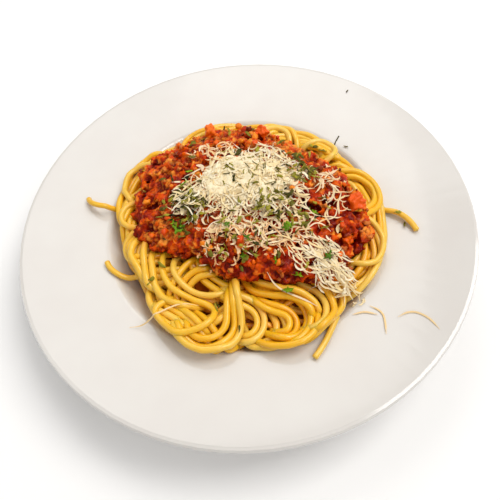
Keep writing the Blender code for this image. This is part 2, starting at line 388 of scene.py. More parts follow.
def relief_of(name, missing=ABSENT):
    """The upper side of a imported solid, read at every second line of the grid."""
    made = Relief()
    made.heights[:] = missing
    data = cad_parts[name].data
    tree = BVHTree.FromPolygons([v.co / MM for v in data.vertices], [p.vertices for p in data.polygons])
    low, high = (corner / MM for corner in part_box(name))
    for i in range(0, len(made.axis), 2):
        for j in range(0, len(made.axis), 2):
            x, y = made.axis[i], made.axis[j]
            if low.x <= x <= high.x and low.y <= y <= high.y:
                hit = tree.ray_cast(Vector((x, y, SKY)), Vector((0, 0, -1)))[0]
                if hit is not None:
                    made.heights[i : i + 2, j : j + 2] = hit.z
    return made


def averaged(values, width):
    """A moving average that holds the values at both ends."""
    return np.convolve(np.pad(values, width // 2, mode="edge"), np.ones(width) / width, mode="valid")


def blurred(heights, width):
    for axis in (0, 1, 0, 1):
        heights = np.apply_along_axis(averaged, axis, heights, width)
    return heights


def polar(x, y):
    return np.degrees(np.arctan2(y, x)) % 360, np.hypot(x, y)


SECTOR = 5.0  # between the directions in which reach is read, and how far from one a corner may lie
SECTOR_HALF = 3.0


def reach_of(name):
    """How far a packed heap reaches from the axis, as a function of the angle."""
    corners = np.array([v.co[:2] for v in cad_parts[name].data.vertices]) / MM
    angles, radii = polar(corners[:, 0], corners[:, 1])
    directions = np.arange(0, 360, SECTOR)
    away = np.abs((angles[None, :] - directions[:, None] + 180) % 360 - 180)
    widest = np.where(away < SECTOR_HALF, radii[None, :], 0).max(axis=1)
    return lambda angle: np.interp(np.asarray(angle) % 360, directions, widest, period=360)


# ---- Spaghetti


STRAND_RADIUS = 1.6
STRAND_STEP = 1.2
STRAND_SIDES = 10
SINK = 0.6  # how far soft strands press into what is below them
CONTACT = 0.6  # the share of a strand's radius that keeps its neighbours away
SQUEEZE = 0.15  # the share of their height over the nest's solid by which strands settle back
EASING = 3.0  # over this width strands are eased back from the nest's outline
TUCK = (9.0, 5.0, 3.5)  # length over which a strand's ends dive into the heap, how deep, and how far inwards
CORE_DEPTH = 12.5  # how far the nest's hidden core lies under its solid
CORE_INSET = 9  # how far the core stays inside the nest's outline
LEAST_DEPTH = 3.6  # the least room for strands over the china, where the solid runs out
WAVELENGTH = 50.0  # of a strand's slow waves, and the height and length of the shorter ones in them
SHORT_WAVE = (0.4, 0.57)

FILL_TRIES = 2600
FILL_RADII = (24, 80)  # of the filling's bent strands, and the length of their bends
FILL_LENGTHS = (20, 66)
FRONT_ANGLES = (228, 312)
FILL_ROOM = (-5.4, -4.6)  # how far over the nest's solid they may rise, at the front and elsewhere
COIL_ROOM = 5.0  # the same for side coils and for the loops on them
LOOP_ROOM = 7.5
SIDE_THICKNESS = 1.06
FRONT_THICKNESS = 1.12
COIL_PITCH = 3.4  # between the strands of a side coil
COIL_MARGIN = 1.9  # between a side coil's middle line and the nest's outline


def draped(rest, rounds=50, sag=0.07):
    """A strand's heights over what it rests on, bridging the dips that are too tight for it."""
    z = rest.copy()
    for _ in range(rounds):
        z[1:-1] = np.maximum(rest[1:-1], (z[:-2] + z[2:]) / 2 - sag)
    return np.maximum(averaged(averaged(z, 7), 5), rest - SINK)


def resampled(points, step):
    """Points at even steps along a path in the plane."""
    points = np.asarray(points, float)
    run = np.concatenate([[0], np.cumsum(np.hypot(*np.diff(points, axis=0).T))])
    places = np.linspace(0, run[-1], max(4, int(run[-1] / step)))
    return np.stack([np.interp(places, run, points[:, axis]) for axis in (0, 1)], axis=1)


def on_ray(angle, radius):
    angle = np.radians(angle)
    return np.stack([np.cos(angle) * radius, np.sin(angle) * radius], axis=-1)


def arc(centre, radius, start, end, lead=0.0, trail=0.0):
    """An arc from one angle to another, with straight stretches before and after it."""
    steps = max(10, int(abs(end - start) * radius / 50))
    ring = on_ray(np.linspace(start, end, steps), radius) + centre
    before = ring[:1] + unit(ring[:1] - ring[1:2]) * lead
    after = ring[-1:] + unit(ring[-1:] - ring[-2:-1]) * trail
    parts = [before] * (lead > 0) + [ring] + [after] * (trail > 0)
    return resampled(np.concatenate(parts), STRAND_STEP)


def waved(path, rng, amount):
    """The path with slow sideways waves."""
    run = np.arange(len(path)) * STRAND_STEP
    along = unit(np.gradient(path, axis=0))
    side = np.stack([-along[:, 1], along[:, 0]], axis=1)
    phases = rng.uniform(0, 2 * math.pi, 2)
    wave = np.sin(2 * math.pi * run / WAVELENGTH + phases[0])
    wave += SHORT_WAVE[0] * np.sin(2 * math.pi * run / (WAVELENGTH * SHORT_WAVE[1]) + phases[1])
    return path + side * wave[:, None] * amount


# Coils at the front, from the lowest up: middle, first and last radius, number of strands, first and last
# angle, and the straight stretches before and after the arc
FRONT_COILS = (
    ((-33, -46), (13, 19.5), 3, 195, 290, 14, 16),
    ((-83, -106), (61, 74), 5, 57, 34, 5, 5),
    ((20, -52), (18, 24), 3, 40, -70, 10, 8),
    ((3, -65.5), (7.5, 11), 2, 25, -155, 5, 8),
    ((-7, -62), (7.2, 11), 2, 64, -105, 18, 5),
    ((11, -66.5), (5, 8.2), 2, 72, -110, 18, 4),
    ((12.5, -63), (11.5, 17.8), 3, 68, -112, 18, 9),
    ((23, -60), (12.5, 16), 2, 58, -60, 14, 3),
    ((-24.5, -60.5), (10, 17), 3, 2, -148, 22, 8),
    ((-24, -49), (12, 15.5), 2, 96, 175, 10, 5),
)

# Strands that come from under the sauce and pass below the front coils
LOW_ROUTES = (
    ((-29, -22), (-30, -30), (-20.5, -42), (-10, -51), (0, -58)),
    ((-25, -22), (-26.5, -29), (-17, -39.5), (-7, -47.5), (3, -54)),
    ((-48, -46), (-47.4, -50), (-40.1, -58.0), (-30, -65), (-20, -69)),
)

# Strands that come down from the sauce at the front left, the last one winding into the oval loop
FRONT_ROUTES = (
    ((-6, -36), (-1, -46), (8, -51), (18, -54), (26, -60), (29, -68)),
    ((-3, -34), (3, -43.5), (12, -48.5), (21, -51.5), (29, -57), (33, -66)),
    ((-46, -48), (-40.3, -38.6), (-34.4, -30.5), (-26, -24)),
    ((-59.5, -6), (-62, -18), (-59, -26.5), (-55.7, -33), (-50, -38)),
    ((-53, -6), (-55, -18), (-54.6, -28), (-53, -37), (-47, -43)),
    ((-37, -18), (-39.5, -28), (-38, -36), (-32, -43), (-24, -47), (-14, -49)),
    ((-52, -14), (-51, -26), (-49.5, -38), (-45, -46), (-37, -51), (-28, -54)),
    ((-44, -14), (-45.5, -25), (-44.5, -34), (-40, -42), (-31, -48), (-23.5, -52), (-20, -57), (-23, -63.5),
     (-31, -67), (-40, -67), (-48, -63), (-51, -56.5), (-48.5, -50.5), (-43, -47)),
)

# Coils that touch the nest's outline: the angle where they do, outer radius, number of strands, and how far
# the arcs run before and after that angle
SIDE_COILS = (
    (118, 36, 3, 50, 50), (92, 30, 3, 60, 50), (70, 42, 4, 40, 50), (48, 26, 3, 60, 60),
    (26, 44, 4, 44, 40), (6, 24, 3, 66, 60), (-14, 50, 4, 36, 36), (-34, 27, 3, 60, 44),
    (148, 42, 3, 46, 44), (168, 24, 3, 66, 76), (188, 38, 3, 50, 40), (203, 17, 3, 74, 56),
)

# Loops laid over those coils, in the same terms
SIDE_LOOPS = (
    (66, 13, 2, 95, 60), (38, 12, 2, 70, 95), (4, 16, 2, 80, 60), (-24, 13, 1, 70, 90),
    (108, 15, 2, 90, 60), (150, 12, 1, 60, 90), (172, 12, 2, 95, 85), (193, 10, 2, 85, 100),
)


def route(points):
    """A smooth path through the points."""
    points = np.array(points, float)
    ends = np.vstack([2 * points[0] - points[1], points, 2 * points[-1] - points[-2]])
    shares = np.linspace(0, 1, 12, endpoint=False)[:, None]
    parts = []
    for before, start, finish, after in zip(ends, ends[1:], ends[2:], ends[3:]):
        bend = 2 * before - 5 * start + 4 * finish - after
        twist = 3 * (start - finish) + after - before
        parts.append(start + (finish - before) * shares / 2 + bend * shares**2 / 2 + twist * shares**3 / 2)
    return resampled(np.concatenate(parts + [points[-1:]]), STRAND_STEP)


def coil_paths(coils, rng):
    """The strands of each coil, from the inside out."""
    for centre, radii, count, start, end, lead, trail in coils:
        for radius in np.linspace(*radii, count):
            middle = np.asarray(centre) + rng.normal(0, 0.35, 2)
            first = start + rng.normal(0, 5) * (count > 1)
            last = end + rng.normal(0, 7) * (count > 1)
            before = lead * rng.uniform(0.7, 1.3)
            after = trail * rng.uniform(0.6, 1.5)
            yield waved(arc(middle, radius, first, last, before, after), rng, 0.3)


def side_paths(coils, outer_edge, rng):
    """The strands of the coils along the outline, each coil's in one order or the other."""
    for angle, outer, count, before, after in coils:
        middle = on_ray(angle, outer_edge(angle) - COIL_MARGIN - outer)
        inner = outer - (count - 1) * COIL_PITCH
        way = rng.choice((-1, 1))
        coil = (middle, (inner, outer), count, angle + before, angle - after, 12, 12)
        yield from list(coil_paths((coil,), rng))[::way]


class Nest:
    """The strands of spaghetti, laid one on the other."""

    def __init__(self, relief, ceiling, sauce_edge, outer_edge):
        self.relief = relief
        self.ground = deepcopy(relief)
        self.ceiling = ceiling
        self.sauce_edge = sauce_edge
        self.outer_edge = outer_edge
        self.heap = Heap()
        self.rng = np.random.default_rng(11)

    def fill(self):
        """Lays gently bent strands, mostly along the outline, wherever the heap is still low."""
        rng = self.rng
        for _ in range(FILL_TRIES):
            angle = rng.uniform(0, 360)
            spot = on_ray(angle, rng.uniform(self.sauce_edge(angle) - 10, self.outer_edge(angle) - 3.5))
            radius = rng.uniform(*FILL_RADII)
            across = angle + rng.normal(0, 24)
            sweep = math.degrees(rng.uniform(*FILL_LENGTHS) / radius)
            path = arc(spot - on_ray(across, radius), radius, across + sweep / 2, across - sweep / 2)
            at_front = FRONT_ANGLES[0] < angle < FRONT_ANGLES[1]
            self.lay(waved(path, rng, 0.6), 1.0, FILL_ROOM[0] if at_front else FILL_ROOM[1])

    def lay(self, path, thickness, room=math.inf):
        """Lays a strand with its ends tucked in, unless it would rise over the ceiling by more than room."""
        angles, radii = polar(path[:, 0], path[:, 1])
        run = np.minimum(np.arange(len(path)), np.arange(len(path))[::-1]) * STRAND_STEP
        end = np.clip(1 - run / TUCK[0], 0, 1) ** 2
        path = on_ray(angles, self.held_in(angles, radii) - end * TUCK[2])
        radius = STRAND_RADIUS * thickness * self.rng.uniform(0.94, 1.05)
        z = draped(self.relief.rest(path, radius * CONTACT)) + radius * (1 - CONTACT)
        over = z + radius - self.ceiling.at(path)
        z -= np.maximum(over, 0) * SQUEEZE
        if np.percentile(over, 80) > room:
            return
        z = np.maximum(z - end * TUCK[1], np.minimum(z, self.ground.rest(path, radius)))
        points = np.column_stack([path, z])
        self.relief.cover(points, radius)
        self.add(points, radius, over)

    def held_in(self, angles, radii):
        """The radii, eased back near the outline so that they never cross it."""
        start = self.outer_edge(angles) - STRAND_RADIUS - 0.2 - EASING
        beyond = np.maximum(radii - start, 0) / EASING
        return np.minimum(radii, start + EASING * (1 - np.exp(-beyond)))

    def add(self, path, radius, over):
        """Adds the strand, stained by the sauce beside it, and with painted shade, a deeper orange, where it
        lies deep in the heap.
        """
        angles, radii = polar(path[:, 0], path[:, 1])
        near = np.clip(1 - (radii - self.sauce_edge(angles)) / 5, 0, 1) * self.rng.uniform(0.0, 0.6)
        # painted shade: strands lying more than 3 mm under the nest's solid take on the deeper orange, more
        # the deeper they lie
        deep = np.clip((-over - 3.0) / 8, 0, 1) * 0.8
        sauced = np.maximum(near, deep)
        swell = 1 + 0.03 * np.sin(np.arange(len(path)) * 0.5 + self.rng.uniform(0, 6))
        points, faces = tube(path, radius * swell, STRAND_SIDES)
        rows = np.repeat(sauced, STRAND_SIDES)
        ends = np.repeat(sauced[[0, -1]], STRAND_SIDES + 1)
        self.heap.add(points, faces, tone=self.rng.uniform(0.1, 0.75), sauced=np.concatenate([rows, ends]))


# ---- Loose strands on the rim


# For each node: the angle on the nest's outline, the headings at the start and the free end, length and arch
LOOSE_STRANDS = {
    "strand_left": (166, (190, 106), 18.0, 5.0),
    "strand_lower_left": (202, (178, 104), 17.0, 0.6),
    "strand_right": (356, (-34, -78), 19.0, 1.4),
    "strand_front": (295, (-122, -136), 14.0, 0.4),
}
LOOSE_STEP = 0.8
HIDDEN_STEPS = 14  # how far a loose strand reaches back into the nest


def loose_strand(name, angle, headings, length, arch, relief, outer_edge, surface, tone):
    """A strand end that comes out of the nest and curls over the plate to its free end."""
    start = on_ray(angle, outer_edge(angle) + STRAND_RADIUS)
    shares = np.linspace(0, 1, int(length / LOOSE_STEP))
    strides = on_ray(headings[0] + (headings[1] - headings[0]) * shares[:-1], length * shares[1])
    back = on_ray(headings[0] + 180, LOOSE_STEP) * np.arange(HIDDEN_STEPS, 0, -1)[:, None]
    path = start + np.vstack([back, [(0, 0)], np.cumsum(strides, axis=0)])
    rise = np.sin(math.pi * (0.3 + 0.7 * shares)) * (shares > 0)
    z = draped(relief.rest(path, STRAND_RADIUS), rounds=30)
    z = averaged(z + arch * np.concatenate([np.zeros(HIDDEN_STEPS), rise]), 7)
    path = np.column_stack([path, z])
    relief.cover(path, STRAND_RADIUS)
    heap = Heap()
    heap.add(*tube(path, STRAND_RADIUS * 0.97, 14), tone=tone, sauced=0.0)
    piece = heap.finish(name + "_pasta", surface, "spaghetti")
    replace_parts(piece, name)


# ---- Meat sauce


def blob(rng, radius, roughness, level=2, squash=0.75, square=False):
    """An uneven lump, or an uneven cube with round edges."""
    points, faces = BLOBS[level]
    if square:
        points = points / (np.abs(points) ** 5).sum(axis=1, keepdims=True) ** (1 / 5)
    seed = rng.uniform(0, 100, 3)
    swell = np.array([1 + roughness * noise.noise(Vector(p * 1.5 + seed)) * 2 for p in points])
    stretch = np.array([rng.uniform(0.8, 1.3), rng.uniform(0.75, 1.1), squash])
    return spun(points * swell[:, None] * radius * stretch, rng), faces


def spun(points, rng):
    """The points tilted a little and spun about Z."""
    spin = Matrix.Rotation(rng.uniform(0, 2 * math.pi), 3, "Z")
    lean = Matrix.Rotation(rng.normal(0, 0.5), 3, "X")
    return points @ np.array(spin @ lean).T


def icosphere(level):
    form = bmesh.new()
    bmesh.ops.create_icosphere(form, subdivisions=level, radius=1.0)
    points = np.array([v.co[:] for v in form.verts])
    faces = [tuple(v.index for v in face.verts) for face in form.faces]
    form.free()
    return points, faces


BLOBS = {count: icosphere(count) for count in (1, 2, 5)}


def scattered(rng, count, outline, inset=0.0, half=0.0):
    """Random places at least the inset and half a piece inside an outline, even over its area."""
    angles = rng.uniform(0, 360, count)
    return on_ray(angles, np.sqrt(rng.uniform(0, 1, count)) * (outline(angles) - inset - half))


# Lumps of mince: how many, and their smallest and largest radius; the same for the balls that fill the body
SAUCE_LUMPS = ((420, 3.0, 4.8), (650, 1.8, 3.0), (700, 1.0, 1.8))
SAUCE_BODY = (900, 4.0, 5.5)
SAUCE_INSETS = (0.4, 5)  # how far lumps' sides and balls' middles stay inside the sauce's outline
SAUCE_BORDERS = (3.0, 7.0)  # the width over which the sauce slopes down to the strands, at the back and front
SAUCE_VOXEL = 0.72
CRUMB = 2.6  # size of the crumbs that the lumps break into, and how deep the cracks between them are
CRACK = 0.7
HIDDEN = 1.2  # what lies deeper than this under the strands' relief is left out of the sauce


def sauce_form(top, edge, relief):
    """Lumps of mince over the sauce's body."""
    rng = np.random.default_rng(21)
    form = Heap()
    for number, smallest, largest in SAUCE_LUMPS:
        for x, y in scattered(rng, number, edge, SAUCE_INSETS[0], largest / 2):
            radius = rng.uniform(smallest, largest)
            floor = relief.rest((x, y), 2.0) - 1.0
            angle, out = polar(x, y)
            border = np.clip((edge(angle) - out) / np.interp(-y, (0, 30), SAUCE_BORDERS), 0, 1)
            height = max(floor + (top.at((x, y)) - floor) * border**0.6, floor)
            points, faces = blob(rng, radius, 0.4)
            form.add(points + (x, y, height - radius * rng.uniform(0.0, 1.2) * border), faces)
    number, smallest, largest = SAUCE_BODY
    for x, y in scattered(rng, number, edge, SAUCE_INSETS[1]):
        radius = rng.uniform(smallest, largest)
        points, faces = blob(rng, radius, 0.15, level=1)
        form.add(points + (x, y, max(top.at((x, y)), relief.at((x, y))) - radius * 1.5), faces)
    return form


def build_sauce(top, edge, relief):
    """The lumps joined into one wet, grainy mass, with painted shade that darkens its hollows and cracks."""
    joined = joined_mesh(sauce_form(top, edge, relief))
    keep_visible(joined, relief)
    crack, tone = crumbled(joined)
    points = places_of(joined)
    smooth = deepcopy(relief)
    smooth.cover(points, 0.5)
    smooth.heights = blurred(smooth.heights, 11)
    # painted shade: points sunk under the smoothed relief, and those in the cracks, get the dark hollow
    # colour
    hollow_shade = (smooth.at(points) - points[:, 2] + 0.3) / 2.6
    set_values(joined, "hollow_shade", np.clip(hollow_shade + crack * 0.4, 0, 1))
    set_values(joined, "tone", np.clip(tone + 0.003 * points[:, 1], 0, 1))
    relief.cover(points, 0.4)
    piece = add_piece("meat_sauce_mince", joined, sauce_surface())
    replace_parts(piece, "meat_sauce")


def joined_mesh(form):
    """One skin over all the pieces of a heap."""
    lumps = placed("lumps", form.mesh("lumps"))
    remesh = lumps.modifiers.new("join", "REMESH")
    remesh.mode = "VOXEL"
    remesh.voxel_size = SAUCE_VOXEL * MM
    joined = bpy.data.meshes.new_from_object(lumps.evaluated_get(bpy.context.evaluated_depsgraph_get()))
    joined.name = "meat_sauce_mince"
    bpy.data.objects.remove(lumps)
    return joined


def crumbled(mesh):
    """Sinks cracks between crumbs into the mesh; returns each point's crack and its crumb's tone."""
    noise.seed_set(21)
    points = places_of(mesh)
    normals = np.empty(points.size)
    mesh.vertex_normals.foreach_get("vector", normals)
    cracks, tones, sinks = np.empty((3, len(points)))
    for index, point in enumerate(points):
        place = Vector(point)
        crumbs = place / CRUMB
        distances, middles = noise.voronoi(crumbs + noise.noise_vector(crumbs * 0.8) * 0.5)
        cracks[index] = 1 - (distances[1] - distances[0]) / 0.3
        tones[index] = 0.5 + 0.35 * noise.cell(middles[0] * 7.3) + 0.5 * noise.noise(place / 9)
        sinks[index] = 0.25 * noise.noise(place / 0.9) + CRACK * max(cracks[index], 0) ** 2
    mesh.vertices.foreach_set("co", (points - normals.reshape(-1, 3) * sinks[:, None]).ravel() * MM)
    mesh.update()
    return np.clip(cracks, 0, 1), tones


def places_of(mesh):
    """The mesh's points in mm."""
    points = np.empty(len(mesh.vertices) * 3)
    mesh.vertices.foreach_get("co", points)
    return points.reshape(-1, 3) / MM


def set_values(mesh, name, values):
    layer = mesh.attributes.new(name, "FLOAT", "POINT")
    layer.data.foreach_set("value", np.asarray(values, np.float32))


def keep_visible(mesh, relief):
    """Deletes what lies well under the relief that the mass rests on."""
    points = places_of(mesh)
    buried = points[:, 2] < relief.at(points) - HIDDEN
    form = bmesh.new()
    form.from_mesh(mesh)
    bmesh.ops.delete(form, geom=[v for v in form.verts if buried[v.index]], context="VERTS")
    form.to_mesh(mesh)
    form.free()


def scatter_bits(name, rng, places, sizes, relief, surface, node_slot, square=False):
    """Loose uneven bits pressed a little into the relief."""
    heap = Heap()
    for x, y in places:
        radius = rng.uniform(*sizes)
        z = relief.rest((x, y), radius) - radius * 0.4
        points, faces = blob(rng, radius, 0.3 if square else 0.7, square=square)
        heap.add(points + (x, y, z), faces, tone=rng.uniform(0, 1))
        relief.cover((x, y, z), radius * 0.8)
    heap.finish(name, surface, node_slot)


def build_dice(name, rng, surface, tone):
    """A cooked chunk with soft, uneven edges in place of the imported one."""
    low, high = (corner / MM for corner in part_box(name))
    points, faces = blob(rng, 1.0, 0.16, level=5, squash=1.0, square=True)
    points = points / np.abs(points).max(axis=0) * np.array(high - low) / 2
    points = np.array([point * (0.94 + 0.12 * noise.noise(Vector(point / 1.6))) for point in points])
    heap = Heap()
    heap.add(points + np.array(low + high) / 2, faces, tone=tone)
    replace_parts(heap.finish(name + "_cooked", surface, "diced_vegetable"), name)


# ---- Cheese


# Where shreds lie: middle, half lengths and turn of an oval, how many, their length, how much they line up
# and how much sauce they take up
CHEESE_ZONES = (
    ((11, -2), (44, 36), -10, 210, 9.0, 0, 0.4),
    ((-23, 3), (13, 17), 0, 84, 10.0, 0, 0.1),
    ((-13, 36), (13, 5), 10, 26, 6.5, 0, 0.8),
    ((40, 6), (16, 18), 0, 26, 4.0, 0, 0.5),
    ((3, -27), (29, 11), 0, 50, 7.0, 0, 0.9),
    ((0, -29), (30, 10), 0, 90, 3.5, 0, 1.0),
    ((22, -30), (19, 10), -20, 22, 11.0, 0.35, 0.4),
    ((9, -12), (27, 13), 0, 120, 8.0, 0, 0.1),
    ((6, 9), (29, 24), 0, 330, 7.5),
    ((9, 10), (24, 19), 0, 260, 3.5),
    ((6, 10), (25, 20), 0, 44, 10.0),
)
# The same for the second drift, and for the shreds that fell on the herbs
DRIFT_ZONES = (
    ((37, -43), (17, 12), -40, 92, 9.0, 0.4, 0.1),
    ((40, -46), (11, 8), -40, 34, 9.0, 0.65),
    ((45, -51), (13, 8), -40, 24, 3.5, 0.1, 0.1),
    ((28, -38), (10, 8), -60, 10, 10.0, 0.5, 0.2),
)
LATE_ZONES = (
    ((-28, 0), (8, 10), 0, 26, 8.0),
    ((20, -13), (12, 7), 0, 16, 7.0, 0, 0.1),
)
# Long single threads of cheese, on the heap and out on the plate
CHEESE_THREADS = (
    ((18, -22), (21, -30), (24, -37), (29, -43)),
    ((8, -44), (11.2, -49.5), (20, -55), (30.3, -61.3)),
    ((-28, -52), (-35, -51.5), (-42, -52.8), (-48, -54.8), (-56, -57), (-64, -57)),
    ((57.3, -60.6), (60.5, -63), (62.5, -66.2), (62.5, -71), (61.4, -77.2)),
    ((69.1, -69.2), (74, -67.6), (78.7, -68.4), (83.4, -72.7), (86.4, -78.9)),
    ((48, -64), (54, -63.5), (60, -66)),
)

CHEESE_CROWN = (6.5, 11.0)  # where the cheese lies thickest
CROWN_RADIUS = 18.5  # how far from there the core has faded out along Y, and how much farther along X
CROWN_STRETCH = 1.42
CORE_UNDER = 3.6  # how far the core lies under the mound's solid, and how much less at the crown
CROWN_SWELL = 1.2
CORE_THICKNESS = 3.0
CORE_BURIED = 1.5  # what lies deeper than this under the sauce is left out of the core
SHRED_BED = 1.3  # how deep the shreds sink into the core
SHRED_KEEL = 0.35  # a shred's thickness, as a share of its width


def ribbon(path, width, twist):
    """A grated shred: a flat face over a keel, tapering to both ends and twisted."""
    along, side, up = frames(path)
    shares = np.linspace(0, 1, len(path))
    angle = twist[0] + (twist[1] - twist[0]) * shares
    flat = side * np.cos(angle)[:, None] + up * np.sin(angle)[:, None]
    thin = np.cross(flat, along)
    thin *= np.where(thin[:, 2:] < 0, -1, 1)
    taper = np.clip(np.minimum(shares, 1 - shares) * 5, 0.3, 1)
    wide = flat * (width / 2 * taper)[:, None]
    deep = thin * (width * SHRED_KEEL * taper)[:, None]
    points = np.stack([path - wide, path + wide, path - deep], axis=1)
    sides = [(a, d, c, b) for a, b, c, d in skin(len(path), 3)]
    last = 3 * len(path) - 1
    return points.reshape(-1, 3), [(0, 1, 2), *sides, (last, last - 1, last - 2)]


class Shreds:
    """Grated shreds, laid one on the other."""

    def __init__(self, seed, relief):
        self.rng = np.random.default_rng(seed)
        self.relief = relief
        self.heap = Heap()

    def sprinkle(self, middle, halves, turn, count, length, order=0, sauced=0):
        """Lays shreds inside an oval; with an order of 1 they all point along its longer axis."""
        rng = self.rng
        for _ in range(count):
            share = rng.uniform() ** 0.6
            spot = on_ray(rng.uniform(0, 360), share) * halves
            place = np.array(middle) + on_ray(turn, spot[0]) + on_ray(turn + 90, spot[1])
            heading = turn + rng.uniform(-90, 90) * (1 - order)
            size = length * rng.uniform(0.4, 1.0) + rng.exponential(length * 0.25)
            width = rng.uniform(0.5, 1.2) + (rng.uniform() < 0.1) * rng.uniform(0.4, 1.2)
            curl = np.clip(rng.normal(0, 1.6 - 0.9 * order), -2.4, 2.4)
            stain = sauced * rng.uniform(0.2, 1.0)
            path = self.curled(heading, size, curl)
            self.lay(path + (place - path.mean(axis=0)), width, stain)

    def curled(self, heading, length, curl):
        """A path that turns by the curl, in radians, with a slight wave in it."""
        count = max(5, int(length))
        shares = np.linspace(0, 1, count)
        turns = math.radians(heading) + (shares - 0.5) * curl
        turns += self.rng.normal(0, 0.3) * np.sin(shares * 2 * math.pi)
        return np.cumsum(on_ray(np.degrees(turns), length / (count - 1)), axis=0)

    def lay(self, path, width, sauced):
        """Lets a shred come to rest on the relief, with its ends a little free."""
        rng = self.rng
        shares = np.linspace(0, 1, len(path))
        lift = rng.exponential(0.3) * shares**2 + rng.exponential(0.3) * (1 - shares) ** 2
        z = draped(self.relief.rest(path, 0.5), rounds=16, sag=0.03) + np.minimum(lift, 1.4)
        twist = rng.normal(0, 0.3) + np.array((-0.5, 0.5)) * rng.normal(0, 0.9)
        points, faces = ribbon(np.column_stack([path, z]), width, twist)
        self.heap.add(points, faces, tone=rng.uniform(0, 0.8), sauced=sauced)
        self.relief.cover(np.column_stack([path, z - 0.75]), 0.5)


def lay_shreds(name, seed, zones, relief, surface, threads=()):
    """A layer of shreds, with a few long single threads."""
    shreds = Shreds(seed, relief)
    for zone in zones:
        shreds.sprinkle(*zone)
    for points in threads:
        shreds.lay(route(points), 0.9, 0.25)
    return shreds.heap.finish(name, surface, "grated_cheese", smooth=False)


def cheese_core(top, relief):
    """The heights of the mound's crumbly core, nan where none is seen."""
    x, y = np.meshgrid(relief.axis, relief.axis, indexing="ij")
    crown = np.hypot((x - CHEESE_CROWN[0]) / CROWN_STRETCH, y - CHEESE_CROWN[1])
    fade = np.clip(1.0 - (crown / CROWN_RADIUS) ** 3, -1, 1)
    heights = np.full(relief.heights.shape, np.nan)
    for i, j in np.argwhere((fade > -0.3) & (top.heights > 0)):
        place = Vector((relief.axis[i], relief.axis[j], 0))
        grain = noise.noise(place / 1.1) * 0.5 + noise.noise(place / 3.3) * 0.9
        heights[i, j] = top.heights[i, j] - CORE_UNDER + CROWN_SWELL * fade[i, j] + grain
    heights[np.nan_to_num(heights) < relief.heights - CORE_BURIED] = np.nan
    return heights


def build_cheese(top, relief, surface):
    """The mound: a crumbly core under many curled shreds."""
    heights = cheese_core(top, relief)
    core = Heap()
    core.add(*slab(relief.axis, heights, heights - CORE_THICKNESS), tone=0.6, sauced=0.0)
    piece = core.finish("grated_cheese_core", surface, "grated_cheese")
    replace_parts(piece, "grated_cheese")
    relief.heights = np.fmax(relief.heights, heights - SHRED_BED)
    lay_shreds("grated_cheese_shreds", 31, CHEESE_ZONES, relief, surface, CHEESE_THREADS)


def build_drift(relief, surface):
    """The second drift, whose longer shreds lie mostly the same way."""
    piece = lay_shreds("cheese_drift_shreds", 37, DRIFT_ZONES, relief, surface)
    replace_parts(piece, "cheese_drift")


# ---- Herbs


PARSLEY = (
    (36.5, -13), (34, -11), (22.5, -24), (20, -25), (-36.5, -10.5), (-35, -14.5), (-33, -13), (-26.5, 19),
    (39, -40.5), (13, -41.5), (17.5, -52.5), (-9, -20.5), (0, -28.5), (23, -47.5), (-3, -36), (-30, 12),
)
# Clusters of dried leaves: middle, spread and count
HERB_CLUSTERS = (
    ((-29, -3), (5, 8), 96), ((17, -12), (6, 5), 60), ((33, 11), (4, 5), 40),
    ((32, 24), (2, 2), 9), ((-4, -30), (12, 6), 34), ((30, -20), (7, 6), 24),
)
# Leaf bits that lie apart, on the pasta and on the rim
STRAY_LEAVES = (
    (-52.5, -37.6), (-51, -35), (-19.2, -55.1), (-18, -53), (-45.2, -28.5), (-10.6, -42.2), (-8.8, -67.3),
    (8, 46), (44, 42), (46, 40), (60.1, 41.2), (66.4, 45.8), (83.4, -9.5), (86.1, -15.9), (58, -8), (50, 36),
)
# The sliver of herb on the rim, and its neighbour at the plate's border
SLIVERS = (
    ((59.4, 47.4), (60.3, 50), (61.8, 52.4), (63.6, 54.8)),
    ((74.2, 86.9), (74.7, 87.7), (75.4, 88.3)),
)
STICK_LENGTHS = (3.0, 7.5)
STICK_RADIUS = 0.28


def leaf(rng, size, slim, lobes):
    """A small torn leaf with pointed lobes, folded along its rib."""
    count = 12 if lobes == 0 else 20
    turns = np.linspace(0, 2 * math.pi, count, endpoint=False)
    radii = size / 2 * rng.uniform(0.45, 1.15, count)
    radii *= 1 - 0.55 * np.sin(turns * lobes / 2 + rng.uniform(0, 6)) ** 2 * (lobes > 0)
    narrow = rng.uniform(*slim)
    uneven = rng.normal(0, size * 0.05, count)
    border = np.stack([radii * np.cos(turns), radii * np.sin(turns) * narrow, uneven], axis=1)
    border[:, 2] += np.abs(border[:, 1]) * rng.uniform(0.2, 0.9)
    top = np.vstack([border, [(0, 0, size * 0.03)]])
    bottom = top - (0, 0, 0.18)
    faces = []
    for turn in range(count):
        after = (turn + 1) % count
        faces.append((turn, after, count))
        faces.append((count + 1 + after, count + 1 + turn, 2 * count + 1))
        faces.append((after, turn, count + 1 + turn, count + 1 + after))
    return np.vstack([top, bottom]), faces


def scatter_leaves(name, rng, places, sizes, slim, relief, surface, lobes=0):
    """Leaves of these lengths; the slim range gives their width as a share of it."""
    heap = Heap()
    for x, y in places:
        size = rng.uniform(*sizes)
        rest = relief.rest((x, y), size * 0.15)
        points, faces = leaf(rng, size, slim, lobes)
        heap.add(spun(points, rng) + (x, y, rest + 0.1), faces, tone=rng.uniform(0, 0.8))
        relief.cover((x, y, rest - 0.2), size * 0.2)
    heap.finish(name, surface, "meat_sauce")


